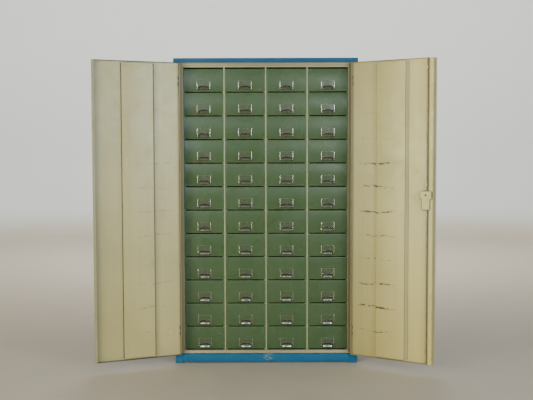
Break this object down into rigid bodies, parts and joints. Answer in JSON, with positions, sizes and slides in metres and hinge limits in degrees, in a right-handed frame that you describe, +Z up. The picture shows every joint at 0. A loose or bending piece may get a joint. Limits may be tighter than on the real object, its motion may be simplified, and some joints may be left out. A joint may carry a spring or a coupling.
{
  "type": "parts cabinet",
  "caption": "Tall steel parts cabinet with hinged pan doors, a rod lock, and a rack of sheet-steel drawers with label-frame cup pulls.",
  "frame": {"origin": "middle of the cabinet's underside, on the floor", "axes": "+Z up; the doors and drawers face -Y; +X to the right when facing the front"},
  "size_m": [2.138, 0.8217, 2],
  "materials": {
    "blue_paint": "semi-gloss enamel, scuffed along the edges",
    "cream_paint": "aged semi-gloss enamel with scratches and stains",
    "green_paint": "semi-gloss enamel, slightly uneven from drawer to drawer",
    "nickel": "aged nickel plate",
    "bright_steel": "bare steel, dulled"
  },
  "bodies": {
    "root": {"cabinet_shell": "blue_paint", "rack_upright_1": "cream_paint", "rack_upright_2": "cream_paint", "rack_upright_3": "cream_paint", "rack_upright_4": "cream_paint", "rack_upright_5": "cream_paint"},
    "left_door": {"left_door": "cream_paint"},
    "right_door": {"right_door": "cream_paint", "lock_case": "cream_paint"},
    "lock_handle": {"lock_handle": "bright_steel"},
    "upper_lock_rod": {"upper_lock_rod": "bright_steel"},
    "lower_lock_rod": {"lower_lock_rod": "bright_steel"},
    "drawer_c1_r01": {"drawer_c1_r01": "green_paint"},
    "drawer_c2_r01": {"drawer_c2_r01": "green_paint"},
    "drawer_c3_r01": {"drawer_c3_r01": "green_paint"},
    "drawer_c4_r01": {"drawer_c4_r01": "green_paint"},
    "drawer_c1_r02": {"drawer_c1_r02": "green_paint"},
    "drawer_c2_r02": {"drawer_c2_r02": "green_paint"},
    "drawer_c3_r02": {"drawer_c3_r02": "green_paint"},
    "drawer_c4_r02": {"drawer_c4_r02": "green_paint"},
    "drawer_c1_r03": {"drawer_c1_r03": "green_paint"},
    "drawer_c2_r03": {"drawer_c2_r03": "green_paint"},
    "drawer_c3_r03": {"drawer_c3_r03": "green_paint"},
    "drawer_c4_r03": {"drawer_c4_r03": "green_paint"},
    "drawer_c1_r04": {"drawer_c1_r04": "green_paint"},
    "drawer_c2_r04": {"drawer_c2_r04": "green_paint"},
    "drawer_c3_r04": {"drawer_c3_r04": "green_paint"},
    "drawer_c4_r04": {"drawer_c4_r04": "green_paint"},
    "drawer_c1_r05": {"drawer_c1_r05": "green_paint"},
    "drawer_c2_r05": {"drawer_c2_r05": "green_paint"},
    "drawer_c3_r05": {"drawer_c3_r05": "green_paint"},
    "drawer_c4_r05": {"drawer_c4_r05": "green_paint"},
    "drawer_c1_r06": {"drawer_c1_r06": "green_paint"},
    "drawer_c2_r06": {"drawer_c2_r06": "green_paint"},
    "drawer_c3_r06": {"drawer_c3_r06": "green_paint"},
    "drawer_c4_r06": {"drawer_c4_r06": "green_paint"},
    "drawer_c1_r07": {"drawer_c1_r07": "green_paint"},
    "drawer_c2_r07": {"drawer_c2_r07": "green_paint"},
    "drawer_c3_r07": {"drawer_c3_r07": "green_paint"},
    "drawer_c4_r07": {"drawer_c4_r07": "green_paint"},
    "drawer_c1_r08": {"drawer_c1_r08": "green_paint"},
    "drawer_c2_r08": {"drawer_c2_r08": "green_paint"},
    "drawer_c3_r08": {"drawer_c3_r08": "green_paint"},
    "drawer_c4_r08": {"drawer_c4_r08": "green_paint"},
    "drawer_c1_r09": {"drawer_c1_r09": "green_paint"},
    "drawer_c2_r09": {"drawer_c2_r09": "green_paint"},
    "drawer_c3_r09": {"drawer_c3_r09": "green_paint"},
    "drawer_c4_r09": {"drawer_c4_r09": "green_paint"},
    "drawer_c1_r10": {"drawer_c1_r10": "green_paint"},
    "drawer_c2_r10": {"drawer_c2_r10": "green_paint"},
    "drawer_c3_r10": {"drawer_c3_r10": "green_paint"},
    "drawer_c4_r10": {"drawer_c4_r10": "green_paint"},
    "drawer_c1_r11": {"drawer_c1_r11": "green_paint"},
    "drawer_c2_r11": {"drawer_c2_r11": "green_paint"},
    "drawer_c3_r11": {"drawer_c3_r11": "green_paint"},
    "drawer_c4_r11": {"drawer_c4_r11": "green_paint"},
    "drawer_c1_r12": {"drawer_c1_r12": "green_paint"},
    "drawer_c2_r12": {"drawer_c2_r12": "green_paint"},
    "drawer_c3_r12": {"drawer_c3_r12": "green_paint"},
    "drawer_c4_r12": {"drawer_c4_r12": "green_paint"}
  },
  "joints": [
    {"name": "left_door_hinge", "type": "hinge", "parent": "root", "child": "left_door", "pos_m": [-0.565, -0.254, 1], "axis": [0, 0, -1], "range_deg": [-157, 18]},
    {"name": "right_door_hinge", "type": "hinge", "parent": "root", "child": "right_door", "pos_m": [0.565, -0.254, 1], "axis": [0, 0, 1], "range_deg": [-148.5, 26.5]},
    {"name": "lock_handle_turn", "type": "hinge", "parent": "right_door", "child": "lock_handle", "pos_m": [0.9966, -0.53725, 1.122], "axis": [-0.5225, -0.8526, 0], "range_deg": [0, 90]},
    {"name": "upper_rod_slide", "type": "slide", "parent": "right_door", "child": "upper_lock_rod", "axis": [0, 0, 1], "range_m": [0, 0.018]},
    {"name": "lower_rod_slide", "type": "slide", "parent": "right_door", "child": "lower_lock_rod", "axis": [0, 0, -1], "range_m": [0, 0.018]},
    {"name": "drawer_c1_r01_slide", "type": "slide", "parent": "root", "child": "drawer_c1_r01", "axis": [0, -1, 0], "range_m": [0, 0.36]},
    {"name": "drawer_c2_r01_slide", "type": "slide", "parent": "root", "child": "drawer_c2_r01", "axis": [0, -1, 0], "range_m": [0, 0.36]},
    {"name": "drawer_c3_r01_slide", "type": "slide", "parent": "root", "child": "drawer_c3_r01", "axis": [0, -1, 0], "range_m": [0, 0.36]},
    {"name": "drawer_c4_r01_slide", "type": "slide", "parent": "root", "child": "drawer_c4_r01", "axis": [0, -1, 0], "range_m": [0, 0.36]},
    {"name": "drawer_c1_r02_slide", "type": "slide", "parent": "root", "child": "drawer_c1_r02", "axis": [0, -1, 0], "range_m": [0, 0.36]},
    {"name": "drawer_c2_r02_slide", "type": "slide", "parent": "root", "child": "drawer_c2_r02", "axis": [0, -1, 0], "range_m": [0, 0.36]},
    {"name": "drawer_c3_r02_slide", "type": "slide", "parent": "root", "child": "drawer_c3_r02", "axis": [0, -1, 0], "range_m": [0, 0.36]},
    {"name": "drawer_c4_r02_slide", "type": "slide", "parent": "root", "child": "drawer_c4_r02", "axis": [0, -1, 0], "range_m": [0, 0.36]},
    {"name": "drawer_c1_r03_slide", "type": "slide", "parent": "root", "child": "drawer_c1_r03", "axis": [0, -1, 0], "range_m": [0, 0.36]},
    {"name": "drawer_c2_r03_slide", "type": "slide", "parent": "root", "child": "drawer_c2_r03", "axis": [0, -1, 0], "range_m": [0, 0.36]},
    {"name": "drawer_c3_r03_slide", "type": "slide", "parent": "root", "child": "drawer_c3_r03", "axis": [0, -1, 0], "range_m": [0, 0.36]},
    {"name": "drawer_c4_r03_slide", "type": "slide", "parent": "root", "child": "drawer_c4_r03", "axis": [0, -1, 0], "range_m": [0, 0.36]},
    {"name": "drawer_c1_r04_slide", "type": "slide", "parent": "root", "child": "drawer_c1_r04", "axis": [0, -1, 0], "range_m": [0, 0.36]},
    {"name": "drawer_c2_r04_slide", "type": "slide", "parent": "root", "child": "drawer_c2_r04", "axis": [0, -1, 0], "range_m": [0, 0.36]},
    {"name": "drawer_c3_r04_slide", "type": "slide", "parent": "root", "child": "drawer_c3_r04", "axis": [0, -1, 0], "range_m": [0, 0.36]},
    {"name": "drawer_c4_r04_slide", "type": "slide", "parent": "root", "child": "drawer_c4_r04", "axis": [0, -1, 0], "range_m": [0, 0.36]},
    {"name": "drawer_c1_r05_slide", "type": "slide", "parent": "root", "child": "drawer_c1_r05", "axis": [0, -1, 0], "range_m": [0, 0.36]},
    {"name": "drawer_c2_r05_slide", "type": "slide", "parent": "root", "child": "drawer_c2_r05", "axis": [0, -1, 0], "range_m": [0, 0.36]},
    {"name": "drawer_c3_r05_slide", "type": "slide", "parent": "root", "child": "drawer_c3_r05", "axis": [0, -1, 0], "range_m": [0, 0.36]},
    {"name": "drawer_c4_r05_slide", "type": "slide", "parent": "root", "child": "drawer_c4_r05", "axis": [0, -1, 0], "range_m": [0, 0.36]},
    {"name": "drawer_c1_r06_slide", "type": "slide", "parent": "root", "child": "drawer_c1_r06", "axis": [0, -1, 0], "range_m": [0, 0.36]},
    {"name": "drawer_c2_r06_slide", "type": "slide", "parent": "root", "child": "drawer_c2_r06", "axis": [0, -1, 0], "range_m": [0, 0.36]},
    {"name": "drawer_c3_r06_slide", "type": "slide", "parent": "root", "child": "drawer_c3_r06", "axis": [0, -1, 0], "range_m": [0, 0.36]},
    {"name": "drawer_c4_r06_slide", "type": "slide", "parent": "root", "child": "drawer_c4_r06", "axis": [0, -1, 0], "range_m": [0, 0.36]},
    {"name": "drawer_c1_r07_slide", "type": "slide", "parent": "root", "child": "drawer_c1_r07", "axis": [0, -1, 0], "range_m": [0, 0.36]},
    {"name": "drawer_c2_r07_slide", "type": "slide", "parent": "root", "child": "drawer_c2_r07", "axis": [0, -1, 0], "range_m": [0, 0.36]},
    {"name": "drawer_c3_r07_slide", "type": "slide", "parent": "root", "child": "drawer_c3_r07", "axis": [0, -1, 0], "range_m": [0, 0.36]},
    {"name": "drawer_c4_r07_slide", "type": "slide", "parent": "root", "child": "drawer_c4_r07", "axis": [0, -1, 0], "range_m": [0, 0.36]},
    {"name": "drawer_c1_r08_slide", "type": "slide", "parent": "root", "child": "drawer_c1_r08", "axis": [0, -1, 0], "range_m": [0, 0.36]},
    {"name": "drawer_c2_r08_slide", "type": "slide", "parent": "root", "child": "drawer_c2_r08", "axis": [0, -1, 0], "range_m": [0, 0.36]},
    {"name": "drawer_c3_r08_slide", "type": "slide", "parent": "root", "child": "drawer_c3_r08", "axis": [0, -1, 0], "range_m": [0, 0.36]},
    {"name": "drawer_c4_r08_slide", "type": "slide", "parent": "root", "child": "drawer_c4_r08", "axis": [0, -1, 0], "range_m": [0, 0.36]},
    {"name": "drawer_c1_r09_slide", "type": "slide", "parent": "root", "child": "drawer_c1_r09", "axis": [0, -1, 0], "range_m": [0, 0.36]},
    {"name": "drawer_c2_r09_slide", "type": "slide", "parent": "root", "child": "drawer_c2_r09", "axis": [0, -1, 0], "range_m": [0, 0.36]},
    {"name": "drawer_c3_r09_slide", "type": "slide", "parent": "root", "child": "drawer_c3_r09", "axis": [0, -1, 0], "range_m": [0, 0.36]},
    {"name": "drawer_c4_r09_slide", "type": "slide", "parent": "root", "child": "drawer_c4_r09", "axis": [0, -1, 0], "range_m": [0, 0.36]},
    {"name": "drawer_c1_r10_slide", "type": "slide", "parent": "root", "child": "drawer_c1_r10", "axis": [0, -1, 0], "range_m": [0, 0.36]},
    {"name": "drawer_c2_r10_slide", "type": "slide", "parent": "root", "child": "drawer_c2_r10", "axis": [0, -1, 0], "range_m": [0, 0.36]},
    {"name": "drawer_c3_r10_slide", "type": "slide", "parent": "root", "child": "drawer_c3_r10", "axis": [0, -1, 0], "range_m": [0, 0.36]},
    {"name": "drawer_c4_r10_slide", "type": "slide", "parent": "root", "child": "drawer_c4_r10", "axis": [0, -1, 0], "range_m": [0, 0.36]},
    {"name": "drawer_c1_r11_slide", "type": "slide", "parent": "root", "child": "drawer_c1_r11", "axis": [0, -1, 0], "range_m": [0, 0.36]},
    {"name": "drawer_c2_r11_slide", "type": "slide", "parent": "root", "child": "drawer_c2_r11", "axis": [0, -1, 0], "range_m": [0, 0.36]},
    {"name": "drawer_c3_r11_slide", "type": "slide", "parent": "root", "child": "drawer_c3_r11", "axis": [0, -1, 0], "range_m": [0, 0.36]},
    {"name": "drawer_c4_r11_slide", "type": "slide", "parent": "root", "child": "drawer_c4_r11", "axis": [0, -1, 0], "range_m": [0, 0.36]},
    {"name": "drawer_c1_r12_slide", "type": "slide", "parent": "root", "child": "drawer_c1_r12", "axis": [0, -1, 0], "range_m": [0, 0.36]},
    {"name": "drawer_c2_r12_slide", "type": "slide", "parent": "root", "child": "drawer_c2_r12", "axis": [0, -1, 0], "range_m": [0, 0.36]},
    {"name": "drawer_c3_r12_slide", "type": "slide", "parent": "root", "child": "drawer_c3_r12", "axis": [0, -1, 0], "range_m": [0, 0.36]},
    {"name": "drawer_c4_r12_slide", "type": "slide", "parent": "root", "child": "drawer_c4_r12", "axis": [0, -1, 0], "range_m": [0, 0.36]}
  ],
  "couplings": [
    {"joint": "upper_rod_slide", "follows": "lock_handle_turn", "m_per_rad": 0.01145},
    {"joint": "lower_rod_slide", "follows": "lock_handle_turn", "m_per_rad": 0.01145}
  ]
}
